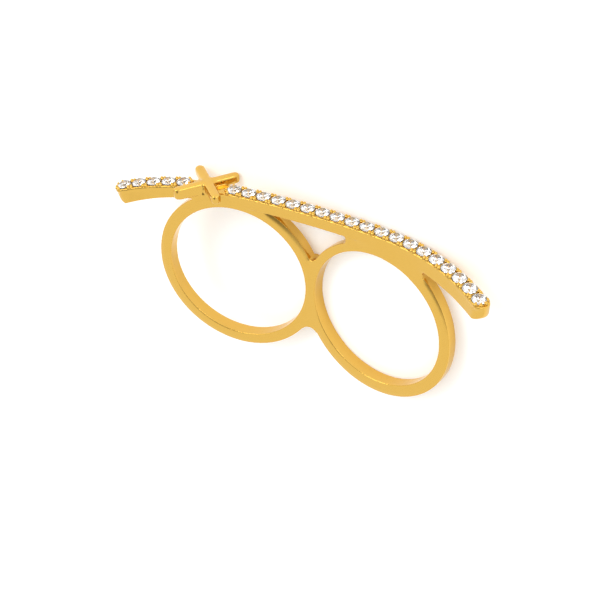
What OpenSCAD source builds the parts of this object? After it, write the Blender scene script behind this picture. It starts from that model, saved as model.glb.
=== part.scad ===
// Double finger ring lying on its back: two round shanks joined side by side under
// a long arched bar set with a row of round stones, with a small raised cross.
// Millimetres. The ring is drawn upright first, the holes' centres on the X axis,
// the bar on top (+Y) and its front towards +Z; lay_down() sets it on its back.

/* [Finger rings] */
// Radius of each finger hole
bore_r = 8.25; // [7.5:0.05:9]
// Metal left between the two finger holes
bridge_w = 1.08; // [0.9:0.02:1.3]
// Thickness of the left shank's wall at its sides
left_t = 1.41; // [1.3:0.01:1.5]
// Thickness of the right shank's wall at its sides
right_t = 1.27; // [1.2:0.01:1.4]
// Extra thickness of the left shank at its foot
left_foot = -0.06; // [-0.1:0.01:0.2]
// Extra thickness of the right shank at its foot
right_foot = 0.3; // [0:0.01:0.4]
// Width of a shank along the finger
shank_w = 1.6; // [1.4:0.05:1.8]
// Rounding of a shank's outer edges
shank_edge = 0.5; // [0.2:0.05:0.6]
// Angle by which each ring turns forward at its outer side
ring_turn = 6; // [0:0.5:7]
// Extra radius of the right shank's shoulder, which starts this many degrees below its side
shoulder_more = 1.1; // [0.8:0.01:1.4]
shoulder_from = 10; // [0:1:20]

/* [Bar] */
// Height of the bar's top over the holes' centres, at the arch's crown
bar_top = 10.53; // [10.4:0.01:11]
// Height of the bar over its middle; it grows towards the ends
bar_h = 1.36; // [1.3:0.02:1.6]
// Depth of the bar
bar_w = 1.9; // [1.84:0.02:2.1]
// Length of the bar left of the arch's crown, along its curve
bar_left = 23.25; // [22:0.05:24]
// Length of the bar right of the arch's crown, along its curve
bar_right = 25.9; // [25:0.05:26.5]
// Distance of the arch's crown from the middle, to the left
bar_shift = 1.14; // [0:0.02:1.5]
// Angle by which the bar rises to the right
bar_rise = 2.6; // [0:0.1:3]
// Angle by which the bar's right half lies back
bar_yaw = 0.5; // [0:0.1:1]
// Rounding of the bar's ends seen from above, on the left and on the right
bar_nose_r = [1, 1.1]; // [0.96:0.01:1.6]
// Rounding of the bar's lower corners, on the left and on the right
bar_end_r = [0.9, 0.95]; // [0.3:0.05:1.2]
// Radius of the arch seen from the front, over the middle
arch_r = 190; // [150:5:300]
// Half width of that middle arch
arch_reach = 12; // [10:0.5:14]
// Radius of the arch's top beyond it, on the left and on the right
arch_end_r = [40, 80]; // [25:1:120]
// Radius of the arch's underside beyond its own middle, on the left and on the right
arch_foot_r = [27.5, 85]; // [24:0.5:100]
// Half width of the underside's middle arch, on the left and on the right
foot_reach = [12, 4]; // [2:0.5:14]
// Radius of the sweep seen from above, over the middle
sweep_r = 270; // [200:10:400]
// Half width of that middle sweep
sweep_reach = 10; // [8:0.5:12]
// Radius of the sweep beyond it, on the left and on the right
sweep_end_r = [55, 27.5]; // [25:0.5:60]

/* [Stones] */
// Diameter of a stone
stone_d = 1.68; // [1.5:0.01:1.7]
// Distance from stone to stone along the bar
stone_pitch = 1.84; // [1.84:0.01:1.86]
// Stones left of the cross
stones_left = 5; // [1:1:5]
// Stones right of the cross
stones_right = 19; // [10:1:19]
// Distance of the first stone's centre from the bar's left end
left_margin = 1.1; // [0.98:0.01:1.2]
// Distance of the last stone's centre from the bar's right end
right_margin = 1.25; // [1:0.05:1.4]
// Radius of a prong between two stones
prong_r = 0.22; // [0.15:0.01:0.24]
// Height of a prong over the bar
prong_h = 0.38; // [0.3:0.02:0.5]

/* [Cross] */
// Distance of the cross from the arch's crown, along the bar
cross_at = 11.8; // [11.4:0.05:11.9]
// Half length of each arm
cross_reach = [3.8, 3.74]; // [3:0.02:3.9]
// Distance by which the arm that reaches forward on the left is set forward
cross_ahead = 0.14; // [0:0.02:0.3]
// Width of an arm
cross_w = 1.1; // [0.8:0.05:1.2]
// Height of an arm
cross_h = 1.15; // [1:0.05:1.3]
// Extra height of the arm that reaches forward on the left, in front of the bar
cross_more = 0.3; // [0:0.05:0.4]
// Height of its top over the bar's top
cross_rise = 0.73; // [0.6:0.01:0.8]
// Distance of its middle behind the bar's
cross_back = 0.05; // [0:0.05:0.3]
// Angle of the arm that reaches forward on the right
cross_right = 47; // [40:1:50]
// Angle of the arm that reaches forward on the left
cross_left = 135; // [130:1:140]

/* [Rest] */
// Lean to the right and lean towards the bar at which the ring lies on its back
rest_lean = 4.73; // [0:0.01:6]
rest_tip = 0.75; // [0:0.01:2]

/* [Hidden] */
// Round surfaces
$fn = 96;
// Clearance between a stone and its seat
seat_gap = 0.04;
// Overlap that lets two pieces of one casting merge
merge = 0.1;
// Length that is more than the ring's depth
deep = 12;
// Distance of each hole from the middle, and the depth of its front face there
ring_x = bore_r + bridge_w / 2;
ring_front = bar_w / 2 + 0.13;
// Outer radius of a shank, and how far its centre lies below the hole's
function shank_r(side) = bore_r + (side < 0 ? left_t : right_t);
function shank_drop(side) = side < 0 ? left_foot : right_foot;
// Height of the bridge's top and foot between the shanks, and the reach of its halves
// past the middle
bridge_top = 4.1;
bridge_foot = 5;
bridge_past = 0.5;
// Fillets between the right shank and the bar: the height of the bar's underside over the
// shank's centre, the fillets' radii on the left and on the right, and their reach into the bar
web_top = [9.65, 8.87];
web_r = [0.68, 0.55];
web_in = 0.45;
// Distance from the right ring's centre at which the shoulder is inside the bar
shoulder_in = 3.5;
// Height of the girdle over the bar's top, and the proportions of a round brilliant
girdle_up = 0.16;
girdle_t = 0.03 * stone_d;
crown_h = 0.15 * stone_d;
pavilion_h = 0.42 * stone_d;
table_d = 0.57 * stone_d;
facets = 8;
// Distance of a prong from the bar's middle line
prong_out = 0.69;
// Distance of the outermost prongs from the outermost stones' centres
prong_end = 0.62;

STONES = stones_left + stones_right;
function two_digits(i) = i < 10 ? str("0", i) : str(i);

// Two tangent arcs: a wide one over the middle and a tighter one beyond the reach.
// drop() is how far the curve has left its tangent at the middle, slope() its rise.
function end_sin(reach, r) = reach / r;
function end_x(reach, r, re) = (r - re) * end_sin(reach, r);
function end_y(reach, r, re) = r - (r - re) * sqrt(1 - pow(end_sin(reach, r), 2));
function past(x, reach, r, re) = abs(x) - end_x(reach, r, re);
function end_of(x, ends) = x < 0 ? ends[0] : ends[1];
function drop(x, reach, r, ends) = let (re = end_of(x, ends)) abs(x) <= reach
    ? r - sqrt(r * r - x * x)
    : end_y(reach, r, re) - sqrt(re * re - pow(past(x, reach, r, re), 2));
function slope(x, reach, r, ends) = let (re = end_of(x, ends), p = past(x, reach, r, re))
    abs(x) <= reach ? x / sqrt(r * r - x * x) : sign(x) * p / sqrt(re * re - p * p);

// The bar's top middle line from the arch's crown: its fall and its depth at a distance
// x, their slopes, the underside, the bar's height, and the line's length for each mm
function bar_y(x) = -drop(x, arch_reach, arch_r, arch_end_r);
function bar_z(x) = drop(x, sweep_reach, sweep_r, sweep_end_r);
function bar_dy(x) = -slope(x, arch_reach, arch_r, arch_end_r);
function bar_dz(x) = slope(x, sweep_reach, sweep_r, sweep_end_r);
function bar_foot(x) = -bar_h - drop(x, end_of(x, foot_reach), arch_r, arch_foot_r);
function bar_t(x) = bar_y(x) - bar_foot(x);
function end_t(x) = bar_t(x) * cos(atan(bar_dy(x))) - merge;
function stretch(x) = sqrt(1 + pow(bar_dy(x), 2) + pow(bar_dz(x), 2));

// Distance x at which the line's own length from the crown is s
walk_step = 0.25;
function walk(x, h, n) = n == 0 ? x : walk(x + h / stretch(x + h / 2), h, n - 1);
function x_at(s) = let (n = max(1, ceil(abs(s) / walk_step))) walk(0, s / n, n);

// Distances from the crown at which the bar's outlines have their points, past both ends,
// and the point at a distance w in front of the bar's middle line, seen from above
BAR_XS = [for (x = [-26.5 : 1 : 26.5]) x];
function beside(x, w) = let (dz = bar_dz(x), n = sqrt(1 + dz * dz)) [x - w * dz / n, bar_z(x) + w / n];

// Lengths along the bar at which the stones and the prongs stand
row_left = left_margin - bar_left;
row_right = bar_right - right_margin;
half_pitch = stone_pitch / 2;
SEATS = concat(
    [for (i = [0 : stones_left - 1]) row_left + i * stone_pitch],
    [for (i = [stones_right - 1 : -1 : 0]) row_right - i * stone_pitch]);
PRONGS = concat(
    [row_left - prong_end],
    [for (i = [1 : stones_left]) row_left - half_pitch + i * stone_pitch],
    [for (i = [stones_right : -1 : 1]) row_right + half_pitch - i * stone_pitch],
    [row_right + prong_end]);

// Sets the upright ring on its back: the foot of the bridge, a tip of the cross and the
// bar's back over the right shank touch the floor, with the ring's middle at the origin
rest_shift = [-0.307, -0.683, 1.509];
module lay_down() {
    translate(rest_shift)
        rotate([rest_tip, rest_lean, 0])
            children();
}

// Puts the bar's own frame, at the arch's crown, on the rings
module at_crown() {
    translate([-bar_shift, bar_top, 0])
        rotate([0, bar_yaw, 0])
            rotate([0, 0, bar_rise])
                children();
}

// Puts a piece on the bar: its X along the bar, its Y up and its Z forward
module on_bar(s) {
    x = x_at(s);
    at_crown()
        translate([x, bar_y(x), bar_z(x)])
            rotate([0, -atan(bar_dz(x)), 0])
                rotate([0, 0, atan(bar_dy(x) / sqrt(1 + pow(bar_dz(x), 2)))])
                    children();
}

// Puts a piece in the frame of one ring, whose front face is Z = 0
module in_ring(side) {
    translate([side * ring_x, 0, ring_front])
        rotate([0, -side * ring_turn, 0])
            children();
}

// The bar from the front: its top line and its underside
module bar_front() {
    polygon(concat(
        [for (x = BAR_XS) [x, bar_y(x)]],
        [for (i = [len(BAR_XS) - 1 : -1 : 0]) [BAR_XS[i], bar_foot(BAR_XS[i])]]));
}

// The bar from above, as wide all along as it is deep
module bar_plan() {
    polygon(concat(
        [for (x = BAR_XS) beside(x, bar_w / 2)],
        [for (i = [len(BAR_XS) - 1 : -1 : 0]) beside(BAR_XS[i], -bar_w / 2)]));
}

module curved_bar() {
    intersection() {
        linear_extrude(4 * deep, center = true) bar_front();
        rotate([90, 0, 0]) linear_extrude(4 * deep, center = true) bar_plan();
    }
}

// Everything past one end of the bar, and the corners that its rounding takes off
module end_cut(t, nose_r, end_r) {
    size = 2 * deep;
    difference() {
        translate([-nose_r, -size / 2, -size / 2]) cube(size);
        translate([-nose_r, 0, 0])
            rotate([90, 0, 0])
                cylinder(h = size + 2, r = nose_r, center = true);
    }
    difference() {
        translate([-end_r, -t - 1, -size / 2])
            cube([end_r + merge, end_r + 1, size]);
        translate([-end_r, end_r - t, 0])
            cylinder(h = size + 2, r = end_r, center = true);
    }
}

module bar() {
    difference() {
        at_crown() curved_bar();
        on_bar(-bar_left)
            rotate([0, 180, 0])
                end_cut(end_t(x_at(-bar_left)), bar_nose_r[0], bar_end_r[0]);
        on_bar(bar_right)
            end_cut(end_t(x_at(bar_right)), bar_nose_r[1], bar_end_r[1]);
    }
}

// Half section of a shank's disc, its two outer edges rounded
module shank_section(r) {
    translate([0, -shank_w]) square([r - shank_edge, shank_w]);
    translate([0, shank_edge - shank_w]) square([r, shank_w - 2 * shank_edge]);
    for (z = [-shank_edge, shank_edge - shank_w])
        translate([r - shank_edge, z]) circle(shank_edge, $fn = 48);
}

// Radius of the fillet between a shank and the middle that ends at a height y
function fillet_r(y, r) = (ring_x * ring_x + y * y - r * r) / (2 * (r - y));

// Metal between a shank and the middle, from its centre's height to the fillet's end, and
// a little past the middle, where both halves are cut off
module bridge_half(y, r) {
    f = fillet_r(y, r);
    foot_x = ring_x * f / (r + f);
    foot_y = r * (y + f) / (r + f);
    difference() {
        translate([-bridge_past, 0]) square([foot_x + bridge_past, foot_y]);
        translate([0, y + f]) circle(f, $fn = 64);
    }
}

// Metal between a shank and the bar over it, from its centre line to the fillet's end
module web_half(y, r, f) {
    end_x = sqrt(pow(r + f, 2) - pow(y - f, 2));
    foot_y = r * (y - f) / (r + f);
    difference() {
        translate([0, foot_y]) square([end_x, y + web_in - foot_y]);
        translate([end_x, y - f]) circle(f, $fn = 64);
    }
}

// The right shank's shoulder: a wider disc that is tangent to the shank inside, and the
// metal that joins it to the bar
module shoulder(r) {
    wide_r = r + shoulder_more;
    translate(shoulder_more * [-cos(shoulder_from), sin(shoulder_from), 0]) {
        intersection() {
            rotate_extrude($fn = 180) shank_section(wide_r);
            translate([shoulder_more + shoulder_in, 0, -deep]) cube([2 * r, 2 * r, 2 * deep]);
        }
        translate([0, 0, -shank_w])
            linear_extrude(shank_w)
                web_half(web_top[1], wide_r, web_r[1]);
    }
}

// One finger ring without its hole, and its half of the bridge
module shank(side) {
    r = shank_r(side);
    down = shank_drop(side);
    big = 4 * bore_r;
    intersection() {
        in_ring(side)
            translate([0, -down, 0]) {
                rotate_extrude($fn = 180) shank_section(r);
                translate([-side * ring_x, 0, -shank_w])
                    linear_extrude(shank_w)
                        mirror([side < 0 ? 1 : 0, 0]) {
                            bridge_half(bridge_top + down, r);
                            mirror([0, 1]) bridge_half(bridge_foot - down, r);
                        }
                if (side > 0) {
                    shoulder(r);
                    translate([0, 0, -shank_w])
                        linear_extrude(shank_w)
                            mirror([1, 0]) web_half(web_top[0], r, web_r[0]);
                }
            }
        translate([side < 0 ? -big : 0, -big / 2, -deep]) cube([big, big, 2 * deep]);
    }
}

module finger_hole(side) {
    in_ring(side) cylinder(h = deep, r = bore_r, center = true, $fn = 180);
}

module cross_arm(reach) {
    for (end = [-1, 1])
        translate([end * (reach - cross_w / 2), 0, 0])
            cylinder(h = cross_h, d = cross_w, $fn = 48);
    translate([-reach + cross_w / 2, -cross_w / 2, 0])
        cube([2 * reach - cross_w, cross_w, cross_h]);
}

// The front half of an arm, below the rest of it
module cross_foot(reach) {
    tip = reach - cross_w / 2;
    translate([0, -cross_w / 2, 0]) cube([tip, cross_w, cross_more + merge]);
    translate([tip, 0, 0]) cylinder(h = cross_more + merge, d = cross_w, $fn = 48);
}

module cross() {
    on_bar(-cross_at)
        translate([0, cross_rise, -cross_back])
            rotate([90, 0, 0]) {
                rotate([0, 0, cross_right]) cross_arm(cross_reach[0]);
                rotate([0, 0, cross_left]) translate([cross_ahead, 0, 0]) {
                    cross_arm(cross_reach[1]);
                    translate([0, 0, cross_h - merge]) cross_foot(cross_reach[1]);
                }
            }
}

module prong() {
    translate([0, -merge, 0])
        rotate([-90, 0, 0])
            cylinder(h = merge + prong_h - prong_r, r = prong_r, $fn = 24);
    translate([0, prong_h - prong_r, 0]) sphere(prong_r, $fn = 24);
}

module seat() {
    r = stone_d / 2 + seat_gap;
    depth = pavilion_h + seat_gap;
    rotate([-90, 0, 0])
        translate([0, 0, girdle_up - depth]) {
            cylinder(h = depth, r1 = 0.1, r2 = r, $fn = 48);
            translate([0, 0, depth]) cylinder(h = 1, r = r, $fn = 48);
        }
}

module casting() {
    union() {
        bar();
        for (side = [-1, 1]) shank(side);
    }
    cross();
}

module ring_body() {
    color("goldenrod") lay_down()
        difference() {
            difference() {
                union() {
                    casting();
                    for (s = PRONGS, side = [-1, 1])
                        on_bar(s) translate([0, 0, side * prong_out]) prong();
                }
                for (side = [-1, 1]) finger_hole(side);
            }
            for (s = SEATS) on_bar(s) seat();
        }
}

// Round brilliant: a table, eight stars, eight kites and sixteen halves above the
// girdle, eight mains and sixteen halves below it, each a point of one closed body
function rim(r, z, n, turn) = [for (i = [0 : n - 1]) let (a = (i + turn) * 360 / n) [r * cos(a), r * sin(a), z]];

module brilliant() {
    r = stone_d / 2;
    star_r = 0.78 * r;
    star_h = 0.6 * crown_h;
    points = concat(
        rim(table_d / 2, girdle_t + crown_h, facets, 0),
        rim(star_r, girdle_t + star_h, facets, 0.5),
        rim(r, girdle_t, 2 * facets, 0),
        rim(r, 0, 2 * facets, 0),
        [[0, 0, -pavilion_h]]);
    hull() polyhedron(points, [[for (i = [0 : len(points) - 1]) i]]);
}

module stone(i) {
    color("white") lay_down()
        on_bar(SEATS[i])
            translate([0, girdle_up, 0])
                rotate([-90, 0, 0])
                    brilliant();
}

ring_body();
for (i = [1 : STONES])
    stone(i - 1);
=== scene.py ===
"""Looks of a double finger ring: a polished yellow gold casting with a row of round stones.

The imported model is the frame. The casting is finished from its solid, the claws and collars
that hold the stones are made by Geometry Nodes, and the stones keep their own cut.
"""
import itertools
import math

import bmesh
import bpy
import numpy as np
from mathutils import Matrix, Vector


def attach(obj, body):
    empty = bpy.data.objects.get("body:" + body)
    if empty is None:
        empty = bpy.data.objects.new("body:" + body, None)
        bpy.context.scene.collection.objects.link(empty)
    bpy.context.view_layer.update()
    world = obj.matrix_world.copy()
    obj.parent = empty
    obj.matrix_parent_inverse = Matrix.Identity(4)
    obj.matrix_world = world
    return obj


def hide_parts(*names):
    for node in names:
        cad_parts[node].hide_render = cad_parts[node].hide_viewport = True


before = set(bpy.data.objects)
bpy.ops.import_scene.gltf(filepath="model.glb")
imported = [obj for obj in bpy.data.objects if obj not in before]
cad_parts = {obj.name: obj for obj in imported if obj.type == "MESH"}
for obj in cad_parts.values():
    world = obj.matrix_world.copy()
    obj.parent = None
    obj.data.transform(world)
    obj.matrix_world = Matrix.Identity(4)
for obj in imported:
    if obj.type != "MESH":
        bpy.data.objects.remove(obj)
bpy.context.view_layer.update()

bl_info = {
    "name": "Double Finger Ring",
    "version": (1, 0, 0),
    "blender": (4, 5, 0),
    "location": "3D View > Sidebar > Ring",
    "description": "Gold casting, claws and round stones of a double finger ring",
    "category": "Add Mesh",
}

# Lengths are in metres where no comment says millimetres
MM = 0.001
BODY = "root"
BODY_NODE = "ring_body"
STONE_NODES = sorted(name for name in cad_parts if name.startswith("stone_"))
# The stones to the left of the cross come first
STONES_LEFT = 5

# The photograph's camera in the frame of the upright ring, and how the ring lies, with the
# sensor, the distances and the shift in millimetres
FRAME_PIXELS = 600
FOCAL_PIXELS = 2727
SENSOR = 36
CAMERA_AZIMUTH = math.radians(30.616)
CAMERA_HEIGHT = math.radians(35.791)
CAMERA_DISTANCE = 300
CAMERA_RIGHT = -1.175
CAMERA_UP = -1.063
REST_LEAN = math.radians(4.73)
REST_TIP = math.radians(0.75)
REST_SHIFT = (-0.307, -0.683, 1.509)
# The nearest and the furthest distance that the camera sees
NEAREST = 0.01
FURTHEST = 10

# Studio light: the walls' strength, and a darker patch of the ceiling: the direction of its
# middle, the angles from it at which it is darkest and at which it has ended, and its strength
WALL_LIGHT = 1.15
PATCH_WAY = (0.1, 0.0, 0.995)
PATCH_CORE = math.radians(18)
PATCH_EDGE = math.radians(31)
PATCH_LIGHT = 0.28
# Square lights aimed at the ring: name, place, length of an edge, and power in watts
SOFT_LIGHTS = (
    ("soft_top", (-0.27, 0.36, 0.4), 0.3, 1.0),
    ("soft_side", (0.3, 0.48, 0.19), 0.22, 0.38),
)
# Half the width of the floor
FLOOR_HALF = 1.5

# The gold's second tint, the size of the patches that tumbling leaves, the width and depth of
# the scratches that polishing leaves, and the roughness of the brightest and dullest patches
GOLD_TINT = "#DBAF52"
TUMBLED_SIZE = 0.8 * MM
SCRATCH_WIDTH = 0.05 * MM
SCRATCH_DEPTH = 0.01 * MM
GOLD_ROUGHNESS = (0.1, 0.17)

# Corners of the solid that are nearer than this to each other are one
SAME_CORNER = 0.0005 * MM
# Decimal places, in metres, to which a stone's corners are compared, and how far above or below
# their middle height its girdle's corners are at most
CORNER_DIGITS = 7
GIRDLE_BAND = 0.06 * MM
# Height of the stones' girdles over the bar's top, and half the bar's width
GIRDLE_UP = 0.16 * MM
BAR_HALF = 0.95 * MM
# The solid's plain prongs: their lowest and highest height over the bar's top, and how far
# along the bar they are from a stone's middle at most
PRONG_LOW = 0.03 * MM
PRONG_HIGH = 0.6 * MM
PRONG_AWAY = 1.2 * MM

# Where the cross stands between the two rows, as a share of the gap between the stones
# beside it, and the half length of its longer arm
CROSS_SHARE = 0.473
CROSS_REACH = 3.8 * MM
# Share of their length by which the arms are drawn out, because polishing shortens them
CROSS_GROWTH = 0.025
# What counts as the cross: this far past its reach at most, and either this high over the
# bar's top, or this far beside the bar and no deeper than this below its top
CROSS_MARGIN = 0.4 * MM
CROSS_OVER = 0.04 * MM
CROSS_BESIDE = 0.2 * MM
CROSS_DEPTH = 0.8 * MM
# Where the parts of the bar's ends start that are polished more: how far past the end stones'
# middles, and how far below their girdles
END_PAST = 0.35 * MM
END_BELOW = 0.45 * MM

# What counts as a shallow step between two flat faces of the casting: how far below the
# stones' girdles the faces start, how far they may lean, as the share of their normal that
# still points forward or back, the highest step, and the width of an outline in cells
BELOW_STONES = 0.62 * MM
LEAST_FACING = 0.2
STEP_LIMIT = 0.42 * MM
OUTLINE_RINGS = 5

# Beads round the outer half of a row's end stone: their angles from the bar's direction,
# their distance from the stone's middle, and their size as a share of the others'
END_BEADS = [math.radians(angle) for angle in (-58, -20, 20, 58)]
END_BEAD_OUT = 0.86 * MM
END_BEAD_SIZE = 0.92


def linear(hex_colour):
    """An sRGB hex colour as linear RGBA."""
    parts = [int(hex_colour[i:i + 2], 16) / 255 for i in (1, 3, 5)]
    return tuple(c / 12.92 if c <= 0.04045 else ((c + 0.055) / 1.055) ** 2.4 for c in parts) + (1,)


def add_node(tree, kind, settings=None, **links):
    """A node with its settings, and its inputs set or linked.

    An input is given by its name, with an underscore for each space, or as i0, i1 and so on
    by its place.
    """
    node = tree.nodes.new(kind)
    for name, value in (settings or {}).items():
        setattr(node, name, value)
    for name, value in links.items():
        by_place = name[0] == "i" and name[1:].isdigit()
        socket = node.inputs[int(name[1:]) if by_place else name.replace("_", " ")]
        if isinstance(value, bpy.types.NodeSocket):
            tree.links.new(value, socket)
        else:
            socket.default_value = value
    return node


def new_object(name, data):
    """An object in the scene with this mesh, light or camera."""
    obj = bpy.data.objects.new(name, data)
    bpy.context.scene.collection.objects.link(obj)
    return obj


def new_material(name):
    """A material, its node tree and its shader."""
    material = bpy.data.materials.new(name)
    material.use_nodes = True
    return material, material.node_tree, material.node_tree.nodes["Principled BSDF"]


def settle(obj):
    """Applies an object's modifiers to its mesh, and removes them."""
    evaluated = obj.evaluated_get(bpy.context.evaluated_depsgraph_get())
    mesh = bpy.data.meshes.new_from_object(evaluated)
    obj.modifiers.clear()
    obj.data = mesh
    mesh.name = obj.name


class GoldSettings(bpy.types.PropertyGroup):
    """Finish of the casting."""
    colour: bpy.props.FloatVectorProperty(
        name="Gold", description="Colour of the yellow gold", subtype="COLOR", size=4,
        default=linear("#DCB258"), min=0, max=1)
    cell: bpy.props.FloatProperty(
        name="Cell", description="Size of the cells that the casting is rebuilt with, in metres",
        default=0.062 * MM, unit="LENGTH")
    blending: bpy.props.IntProperty(
        name="Blending", description="Passes that even out the casting's front and back",
        default=260, min=0)
    smoothing: bpy.props.IntProperty(
        name="Polishing", description="Passes that round the casting's edges", default=14, min=0)
    rounding: bpy.props.IntProperty(
        name="Wear", description="More passes that round the cross and the bar's ends",
        default=160, min=0)
    triangles: bpy.props.IntProperty(
        name="Triangles", description="Most triangles in the casting", default=185000, min=1000)


class SettingSettings(bpy.types.PropertyGroup):
    """Metal that holds the stones."""
    out: bpy.props.FloatProperty(
        name="Distance", description="From the bar's middle line to a claw's bead, in metres",
        default=0.66 * MM, unit="LENGTH")
    apart: bpy.props.FloatProperty(
        name="Spacing", description="From the middle of a claw to each of its two beads, in metres",
        default=0.18 * MM, unit="LENGTH")
    rise: bpy.props.FloatProperty(
        name="Rise", description="Height of a bead's middle over the stones' girdles, in metres",
        default=0.08 * MM, unit="LENGTH")
    bead: bpy.props.FloatProperty(
        name="Bead", description="Radius of a claw's bead, in metres",
        default=0.15 * MM, unit="LENGTH")
    foot: bpy.props.FloatProperty(
        name="Foot", description="Radius of a claw where it leaves the bar, in metres",
        default=0.29 * MM, unit="LENGTH")
    tall: bpy.props.FloatProperty(
        name="Height", description="From a claw's foot to the middle of its bead, in metres",
        default=0.28 * MM, unit="LENGTH")
    collar: bpy.props.FloatProperty(
        name="Collar", description="Radius of the collar's middle line round a stone, in metres",
        default=0.895 * MM, unit="LENGTH")
    wire: bpy.props.FloatProperty(
        name="Wire", description="Radius of the collar's wire, in metres",
        default=0.055 * MM, unit="LENGTH")
    sink: bpy.props.FloatProperty(
        name="Sink", description="Depth of the collar below the stones' girdles, in metres",
        default=0.12 * MM, unit="LENGTH")


class StoneSettings(bpy.types.PropertyGroup):
    """Look of the stones."""
    colour: bpy.props.FloatVectorProperty(
        name="Stone", description="Body colour of the stones", subtype="COLOR", size=4,
        default=linear("#FBFCFF"), min=0, max=1)


class StageSettings(bpy.types.PropertyGroup):
    """Floor and light."""
    glow: bpy.props.FloatProperty(
        name="Glow", description="Light that comes through the floor, as on a light table",
        default=0.22, min=0)
    floor: bpy.props.FloatVectorProperty(
        name="Floor", description="Colour of the floor", subtype="COLOR", size=4,
        default=linear("#F7F6F4"), min=0, max=1)


def gold(settings):
    """Yellow gold, cast, tumbled and polished: fine scratches that only soften the shine."""
    material, tree, shader = new_material("polished_yellow_gold")
    shader.inputs["Metallic"].default_value = 1
    place = add_node(tree, "ShaderNodeTexCoord").outputs["Object"]
    patches = add_node(tree, "ShaderNodeTexNoise", Vector=place, Scale=1 / TUMBLED_SIZE, Detail=3)
    # Real polishing scratches are finer, and are drawn this coarse so that they show
    scratches = add_node(tree, "ShaderNodeTexNoise", Vector=place, Scale=1 / SCRATCH_WIDTH, Detail=2)
    shine = add_node(tree, "ShaderNodeMapRange", Value=patches.outputs["Fac"],
                     From_Min=0.3, From_Max=0.7,
                     To_Min=GOLD_ROUGHNESS[0], To_Max=GOLD_ROUGHNESS[1])
    tree.links.new(shine.outputs["Result"], shader.inputs["Roughness"])
    tint = add_node(tree, "ShaderNodeMix", {"data_type": "RGBA"}, Factor=patches.outputs["Fac"])
    tint.inputs["A"].default_value = settings.colour
    tint.inputs["B"].default_value = linear(GOLD_TINT)
    tree.links.new(tint.outputs["Result"], shader.inputs["Base Color"])
    bump = add_node(tree, "ShaderNodeBump", Height=scratches.outputs["Fac"],
                    Strength=0.06, Distance=SCRATCH_DEPTH)
    tree.links.new(bump.outputs["Normal"], shader.inputs["Normal"])
    return material


def brilliant(settings):
    """Clear colourless stone, cut and polished: its flat facets mirror the light at each other."""
    material, _, shader = new_material("clear_cut_stone")
    shader.inputs["Base Color"].default_value = settings.colour
    shader.inputs["Transmission Weight"].default_value = 1
    # Light bends a little more than in zirconia and less than in diamond
    shader.inputs["IOR"].default_value = 2.2
    shader.inputs["Roughness"].default_value = 0.02
    return material


def paper(settings):
    """White uncoated paper, lit from below: even and without gloss."""
    material, _, shader = new_material("matt_paper")
    shader.inputs["Base Color"].default_value = settings.floor
    shader.inputs["Roughness"].default_value = 0.9
    shader.inputs["Emission Color"].default_value = settings.floor
    shader.inputs["Emission Strength"].default_value = settings.glow
    return material


def rows(stones):
    """The stones to the left of the cross, and those to its right."""
    return stones[:STONES_LEFT], stones[STONES_LEFT:]


def stone_frames():
    """Each stone's middle, its direction along the bar, and its axis out of the bar, in order."""
    found = []
    for name in STONE_NODES:
        corners = np.array([vertex.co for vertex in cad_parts[name].data.vertices])
        points = np.unique(corners.round(CORNER_DIGITS), axis=0)
        middle = points.mean(0)
        axis = np.linalg.svd(points - middle)[2][2]
        heights = (points - middle) @ axis
        # A stone's tip is further from its middle than its table is, and lies inwards
        if abs(heights.min()) < heights.max():
            axis = -axis
            heights = -heights
        girdle = points[np.abs(heights - np.median(heights)) < GIRDLE_BAND].mean(0)
        found.append((Vector(girdle), Vector(axis)))
    frames = []
    for row in rows(found):
        for k, (middle, axis) in enumerate(row):
            along = row[min(k + 1, len(row) - 1)][0] - row[max(k - 1, 0)][0]
            frames.append((middle, along.normalized(), axis))
    return frames


def frame_between(one, two, share=0.5):
    """The frame of a place on the bar between two stones."""
    middle, along, axis = (a.lerp(b, share) for a, b in zip(one, two))
    return middle, along.normalized(), axis.normalized()


def turned(along, axis):
    """Rotation that sets X along the bar and Z out of it."""
    return Matrix((along, axis.cross(along).normalized(), axis)).transposed().to_euler()


def claw_places(stones, settings):
    """Where each bead stands: two pairs between neighbours, and four round the ends of the rows."""
    places = []
    for row in rows(stones):
        for one, two in zip(row, row[1:]):
            middle, along, axis = frame_between(one, two)
            across = axis.cross(along).normalized()
            for side, shift in itertools.product((-1, 1), (-1, 1)):
                place = middle + side * across * settings.out + shift * along * settings.apart
                places.append((place, turned(along, axis), 1))
        for (middle, along, axis), way in ((row[0], -1), (row[-1], 1)):
            across = axis.cross(along).normalized()
            for angle in END_BEADS:
                spoke = way * along * math.cos(angle) + across * math.sin(angle)
                place = middle + spoke * END_BEAD_OUT
                places.append((place, turned(along, axis), END_BEAD_SIZE))
    return places


def places_mesh(name, places):
    """Points with a rotation and a size each, for Geometry Nodes to read."""
    mesh = bpy.data.meshes.new(name)
    mesh.from_pydata([place for place, _, _ in places], [], [])
    turns = mesh.attributes.new("turn", "FLOAT_VECTOR", "POINT")
    turns.data.foreach_set("vector", [c for _, turn, _ in places for c in turn])
    sizes = mesh.attributes.new("size", "FLOAT", "POINT")
    sizes.data.foreach_set("value", [size for _, _, size in places])
    return mesh


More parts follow.
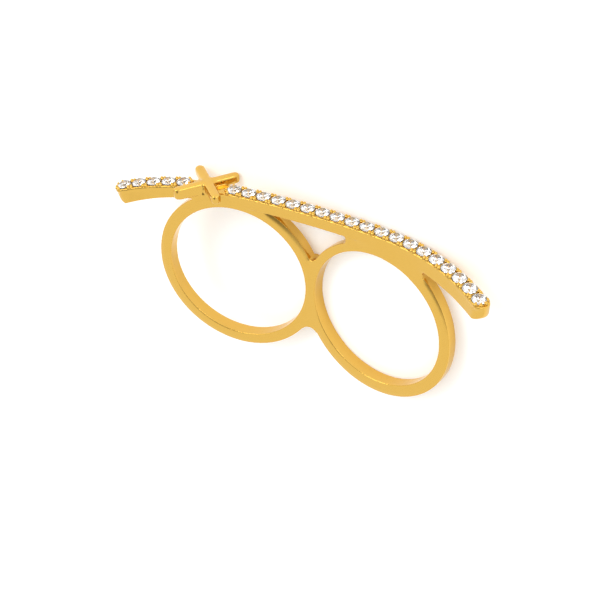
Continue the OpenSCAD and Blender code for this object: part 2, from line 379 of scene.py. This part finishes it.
def claw_shape(tree, size):
    """A bead on a post that widens down into the bar."""
    ball = add_node(tree, "GeometryNodeMeshIcoSphere", Radius=size["bead"], Subdivisions=3)
    down = add_node(tree, "ShaderNodeMath", {"operation": "MULTIPLY"}, i0=size["tall"], i1=-1)
    post = add_node(tree, "GeometryNodeMeshCone", Vertices=24, Radius_Top=size["bead"],
                    Radius_Bottom=size["foot"], Depth=size["tall"])
    under = add_node(tree, "ShaderNodeCombineXYZ", Z=down.outputs[0])
    placed = add_node(tree, "GeometryNodeTransform", Geometry=post.outputs["Mesh"],
                      Translation=under.outputs["Vector"])
    claw = add_node(tree, "GeometryNodeJoinGeometry", Geometry=ball.outputs["Mesh"])
    tree.links.new(placed.outputs["Geometry"], claw.inputs["Geometry"])
    above = add_node(tree, "ShaderNodeCombineXYZ", Z=size["rise"])
    return add_node(tree, "GeometryNodeTransform", Geometry=claw.outputs["Geometry"],
                    Translation=above.outputs["Vector"])


def collar_shape(tree, size):
    """The round lip that carries a stone's girdle."""
    ring = add_node(tree, "GeometryNodeCurvePrimitiveCircle", Resolution=48, Radius=size["collar"])
    wire = add_node(tree, "GeometryNodeCurvePrimitiveCircle", Resolution=12, Radius=size["wire"])
    lip = add_node(tree, "GeometryNodeCurveToMesh", Curve=ring.outputs["Curve"],
                   Profile_Curve=wire.outputs["Curve"])
    down = add_node(tree, "ShaderNodeMath", {"operation": "MULTIPLY"}, i0=size["sink"], i1=-1)
    under = add_node(tree, "ShaderNodeCombineXYZ", Z=down.outputs[0])
    return add_node(tree, "GeometryNodeTransform", Geometry=lip.outputs["Mesh"],
                    Translation=under.outputs["Vector"])


def repeated(name, shape, sizes, settings, material):
    """Geometry Nodes: one shape at each point, turned by it, made real and painted."""
    tree = bpy.data.node_groups.new(name, "GeometryNodeTree")
    tree.interface.new_socket("Geometry", in_out="INPUT", socket_type="NodeSocketGeometry")
    for size in sizes:
        socket = tree.interface.new_socket(size, in_out="INPUT", socket_type="NodeSocketFloat")
        socket.default_value = getattr(settings, size)
    tree.interface.new_socket("Geometry", in_out="OUTPUT", socket_type="NodeSocketGeometry")
    given = add_node(tree, "NodeGroupInput")
    one = shape(tree, {size: given.outputs[size] for size in sizes})
    turn = add_node(tree, "GeometryNodeInputNamedAttribute", {"data_type": "FLOAT_VECTOR"},
                    Name="turn")
    grow = add_node(tree, "GeometryNodeInputNamedAttribute", {"data_type": "FLOAT"}, Name="size")
    spots = add_node(tree, "GeometryNodeInstanceOnPoints", Points=given.outputs["Geometry"],
                     Instance=one.outputs["Geometry"], Rotation=turn.outputs["Attribute"],
                     Scale=grow.outputs["Attribute"])
    real = add_node(tree, "GeometryNodeRealizeInstances", Geometry=spots.outputs["Instances"])
    smooth = add_node(tree, "GeometryNodeSetShadeSmooth", Geometry=real.outputs["Geometry"])
    painted = add_node(tree, "GeometryNodeSetMaterial", Geometry=smooth.outputs["Geometry"],
                       Material=material)
    add_node(tree, "NodeGroupOutput", Geometry=painted.outputs["Geometry"])
    return tree


def mesh_arrays(mesh):
    """A mesh's points, their normals and its edges as arrays."""
    points = np.empty(len(mesh.vertices) * 3, np.float32)
    normals = np.empty(len(mesh.vertices) * 3, np.float32)
    edges = np.empty(len(mesh.edges) * 2, np.int32)
    mesh.vertices.foreach_get("co", points)
    mesh.vertex_normals.foreach_get("vector", normals)
    mesh.edges.foreach_get("vertices", edges)
    return points.reshape(-1, 3), normals.reshape(-1, 3), edges.reshape(-1, 2)


def move_points(mesh, points):
    """Sets a mesh's points to these places."""
    mesh.vertices.foreach_set("co", points.ravel())
    mesh.update()


def merge_corners(mesh):
    """Makes one corner of those that the solid's loose triangles share."""
    merged = bmesh.new()
    merged.from_mesh(mesh)
    bmesh.ops.remove_doubles(merged, verts=merged.verts, dist=SAME_CORNER)
    merged.to_mesh(mesh)
    merged.free()


def flat_top(mesh, stones):
    """Lays the bar's plain prongs down into its top, where beads and collars take their place."""
    points = mesh_arrays(mesh)[0]
    for middle, along, axis in stones:
        way = points - np.array(middle)
        height = way @ np.array(axis) + GIRDLE_UP
        ahead = np.abs(way @ np.array(along))
        aside = np.abs(way @ np.array(axis.cross(along)))
        standing = (height > PRONG_LOW) & (height < PRONG_HIGH)
        prong = standing & (ahead < PRONG_AWAY) & (aside < BAR_HALF)
        points[prong] -= np.outer(height[prong], np.array(axis))
    move_points(mesh, points)


def rebuild(casting, cell):
    """Rebuilds the casting with faces of one small size, which smoothing rounds evenly."""
    cells = casting.modifiers.new("cells", "REMESH")
    cells.mode = "VOXEL"
    cells.voxel_size = cell
    settle(casting)


def lowest_near(height, a, b):
    """The lowest height within a few edges of each point, where a and b are the edges' ends."""
    lowest = height.copy()
    for _ in range(OUTLINE_RINGS):
        near = lowest.copy()
        np.minimum.at(near, a, lowest[b])
        np.minimum.at(near, b, lowest[a])
        lowest = near
    return lowest


def even_out(mesh, stones, passes):
    """Evens out the shallow steps between the shanks and the bar, on the front and on the back.

    Only heights change, and only on the flat faces: away from their outlines, where the surface
    falls by more than any step, and below the stones' seats and claws, which keep their shape.
    """
    points, normals, edges = mesh_arrays(mesh)
    a, b = edges.T
    girdles = np.array([middle for middle, _, _ in stones])
    below = points[:, 1] < np.interp(points[:, 0], girdles[:, 0], girdles[:, 1]) - BELOW_STONES
    for side in (1, -1):
        height = points[:, 2] * side
        shallow = height - lowest_near(height, a, b) < STEP_LIMIT
        flat = below & (normals[:, 2] * side > LEAST_FACING) & shallow
        inner = flat[a] & flat[b]
        one, two = a[inner], b[inner]
        count = np.bincount(one, minlength=len(points)) + np.bincount(two, minlength=len(points))
        moving = count > 0
        for _ in range(passes):
            total = np.bincount(one, height[two], len(points))
            total += np.bincount(two, height[one], len(points))
            height[moving] = (height[moving] + total[moving] / count[moving]) / 2
        points[:, 2] = height * side
    move_points(mesh, points)


def draw_out_cross(mesh, stones):
    """Draws the cross's arms out a little, and says which points are the cross's."""
    points = mesh_arrays(mesh)[0]
    middle, along, axis = frame_between(stones[STONES_LEFT - 1], stones[STONES_LEFT], CROSS_SHARE)
    way = points - np.array(middle)
    height = way @ np.array(axis) + GIRDLE_UP
    aside = np.abs(way @ np.array(axis.cross(along).normalized()))
    near = np.linalg.norm(way, axis=1) < CROSS_REACH + CROSS_MARGIN
    beside = (aside > BAR_HALF + CROSS_BESIDE) & (height > -CROSS_DEPTH)
    cross = near & ((height > CROSS_OVER) | beside)
    outward = way - np.outer(way @ np.array(axis), np.array(axis))
    points[cross] += CROSS_GROWTH * outward[cross]
    move_points(mesh, points)
    return cross


def bar_ends(mesh, stones):
    """Says which points are the lower parts of the bar's two ends."""
    points = mesh_arrays(mesh)[0]
    ends = np.zeros(len(points), bool)
    for (middle, along, axis), sign in ((stones[0], -1), (stones[-1], 1)):
        way = points - np.array(middle)
        past = sign * (way @ np.array(along)) > END_PAST
        ends |= past & (way @ np.array(axis) < -END_BELOW)
    return ends


def polish(casting, worn, settings):
    """Rounds all of the casting's edges, and those of its worn points more."""
    group = casting.vertex_groups.new(name="worn")
    group.add(np.flatnonzero(worn).tolist(), 1, "REPLACE")
    more = casting.modifiers.new("worn", "SMOOTH")
    more.iterations = settings.rounding
    more.vertex_group = group.name
    overall = casting.modifiers.new("polish", "SMOOTH")
    overall.iterations = settings.smoothing
    settle(casting)


def thin_out(casting, most):
    """Brings the casting down to this many triangles at most."""
    triangles = sum(len(face.vertices) - 2 for face in casting.data.polygons)
    thin = casting.modifiers.new("thin", "DECIMATE")
    thin.ratio = min(1, most / triangles)
    settle(casting)


class RING_OT_casting(bpy.types.Operator):
    """Finish the gold casting from its solid, with softly rounded edges"""
    bl_idname = "ring.casting"
    bl_label = "Gold Casting"

    def execute(self, context):
        settings = context.scene.ring_gold
        casting = new_object("gold_casting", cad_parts[BODY_NODE].data.copy())
        merge_corners(casting.data)
        stones = stone_frames()
        flat_top(casting.data, stones)
        rebuild(casting, settings.cell)
        even_out(casting.data, stones, settings.blending)
        worn = draw_out_cross(casting.data, stones) | bar_ends(casting.data, stones)
        polish(casting, worn, settings)
        thin_out(casting, settings.triangles)
        casting.data.materials.clear()
        casting.data.materials.append(gold(settings))
        casting.data.shade_smooth()
        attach(casting, BODY)
        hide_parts(BODY_NODE)
        return {"FINISHED"}


class RING_OT_setting(bpy.types.Operator):
    """Set beads round the stones on both edges of the bar, and a collar under each stone"""
    bl_idname = "ring.setting"
    bl_label = "Claws and Collars"

    def execute(self, context):
        settings = context.scene.ring_setting
        material = bpy.data.materials["polished_yellow_gold"]
        stones = stone_frames()
        under = [(middle, turned(along, axis), 1) for middle, along, axis in stones]
        claws = claw_places(stones, settings)
        for name, places, shape, sizes in (
                ("claws", claws, claw_shape, ("rise", "bead", "foot", "tall")),
                ("collars", under, collar_shape, ("collar", "wire", "sink"))):
            piece = new_object(name, places_mesh(name, places))
            grown = piece.modifiers.new(name, "NODES")
            grown.node_group = repeated(name, shape, sizes, settings, material)
            settle(piece)
            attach(piece, BODY)
        return {"FINISHED"}


class RING_OT_stones(bpy.types.Operator):
    """Give the stones their clear, polished look"""
    bl_idname = "ring.stones"
    bl_label = "Stones"

    def execute(self, context):
        material = brilliant(context.scene.ring_stones)
        for name in STONE_NODES:
            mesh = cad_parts[name].data
            mesh.materials.clear()
            mesh.materials.append(material)
        return {"FINISHED"}


def floor_mesh(half):
    """A level square of this half width."""
    mesh = bpy.data.meshes.new("floor")
    corners = [(-half, -half, 0), (half, -half, 0), (half, half, 0), (-half, half, 0)]
    mesh.from_pydata(corners, [], [(0, 1, 2, 3)])
    return mesh


def soft_light(name, place, size, power):
    """A square light at a place, aimed at the ring."""
    light = bpy.data.lights.new(name, "AREA")
    light.size = size
    light.energy = power
    lamp = new_object(name, light)
    lamp.location = place
    lamp.rotation_euler = (-Vector(place)).to_track_quat("-Z", "Y").to_euler()


def studio_world():
    """White walls all round, and a darker patch overhead that gives the metal's rims their line."""
    world = bpy.data.worlds.new("studio")
    world.use_nodes = True
    tree = world.node_tree
    way = add_node(tree, "ShaderNodeTexCoord").outputs["Generated"]
    facing = add_node(tree, "ShaderNodeVectorMath", {"operation": "DOT_PRODUCT"},
                      i0=way, i1=PATCH_WAY)
    shade = add_node(tree, "ShaderNodeMapRange", {"interpolation_type": "SMOOTHSTEP"},
                     Value=facing.outputs["Value"], From_Min=math.cos(PATCH_EDGE),
                     From_Max=math.cos(PATCH_CORE), To_Min=WALL_LIGHT, To_Max=PATCH_LIGHT)
    tree.links.new(shade.outputs["Result"], tree.nodes["Background"].inputs["Strength"])
    tree.nodes["Background"].inputs["Color"].default_value = linear("#FFFFFF")
    bpy.context.scene.world = world


def photo_camera():
    """The photograph's camera, laid down with the ring."""
    level = math.cos(CAMERA_HEIGHT)
    back = Vector((math.sin(CAMERA_AZIMUTH) * level, math.sin(CAMERA_HEIGHT),
                   math.cos(CAMERA_AZIMUTH) * level))
    right = Vector((0, 1, 0)).cross(back).normalized()
    up = back.cross(right)
    place = back * CAMERA_DISTANCE + right * CAMERA_RIGHT + up * CAMERA_UP
    upright = Matrix((right, up, back)).transposed().to_4x4()
    upright.translation = place * MM
    rest = Matrix.Rotation(REST_LEAN, 4, "Y") @ Matrix.Rotation(REST_TIP, 4, "X")
    data = bpy.data.cameras.new("camera")
    data.sensor_width = SENSOR
    data.lens = SENSOR * FOCAL_PIXELS / FRAME_PIXELS
    data.clip_start = NEAREST
    data.clip_end = FURTHEST
    camera = new_object("camera", data)
    camera.matrix_world = Matrix.Translation(Vector(REST_SHIFT) * MM) @ rest @ upright
    bpy.context.scene.camera = camera


class RING_OT_stage(bpy.types.Operator):
    """Make the pale floor, the soft studio light and the camera"""
    bl_idname = "ring.stage"
    bl_label = "Stage"

    def execute(self, context):
        floor = new_object("floor", floor_mesh(FLOOR_HALF))
        floor.data.materials.append(paper(context.scene.ring_stage))
        studio_world()
        for name, place, size, power in SOFT_LIGHTS:
            soft_light(name, place, size, power)
        photo_camera()
        context.scene.view_settings.view_transform = "Standard"
        return {"FINISHED"}


class RING_PT_panel(bpy.types.Panel):
    """Settings and steps of the ring"""
    bl_idname = "RING_PT_panel"
    bl_label = "Double Finger Ring"
    bl_space_type = "VIEW_3D"
    bl_region_type = "UI"
    bl_category = "Ring"

    def draw(self, context):
        for group, operator in STEPS:
            box = self.layout.box()
            settings = getattr(context.scene, group)
            for name in settings.bl_rna.properties.keys():
                if name not in ("rna_type", "name"):
                    box.prop(settings, name)
            box.operator(operator)


GROUPS = {
    "ring_gold": GoldSettings,
    "ring_setting": SettingSettings,
    "ring_stones": StoneSettings,
    "ring_stage": StageSettings,
}
STEPS = (
    ("ring_gold", "ring.casting"),
    ("ring_setting", "ring.setting"),
    ("ring_stones", "ring.stones"),
    ("ring_stage", "ring.stage"),
)
OPERATORS = (RING_OT_casting, RING_OT_setting, RING_OT_stones, RING_OT_stage)
CLASSES = (*GROUPS.values(), *OPERATORS, RING_PT_panel)


def register():
    """Add the settings, the steps and the panel to Blender."""
    for item in CLASSES:
        bpy.utils.register_class(item)
    for name, group in GROUPS.items():
        setattr(bpy.types.Scene, name, bpy.props.PointerProperty(type=group))


def unregister():
    """Take the settings, the steps and the panel out again."""
    for name in GROUPS:
        delattr(bpy.types.Scene, name)
    for item in reversed(CLASSES):
        bpy.utils.unregister_class(item)


def main():
    """Make every piece and the stage."""
    register()
    bpy.ops.ring.casting()
    bpy.ops.ring.setting()
    bpy.ops.ring.stones()
    bpy.ops.ring.stage()


if __name__ == "__main__":
    main()
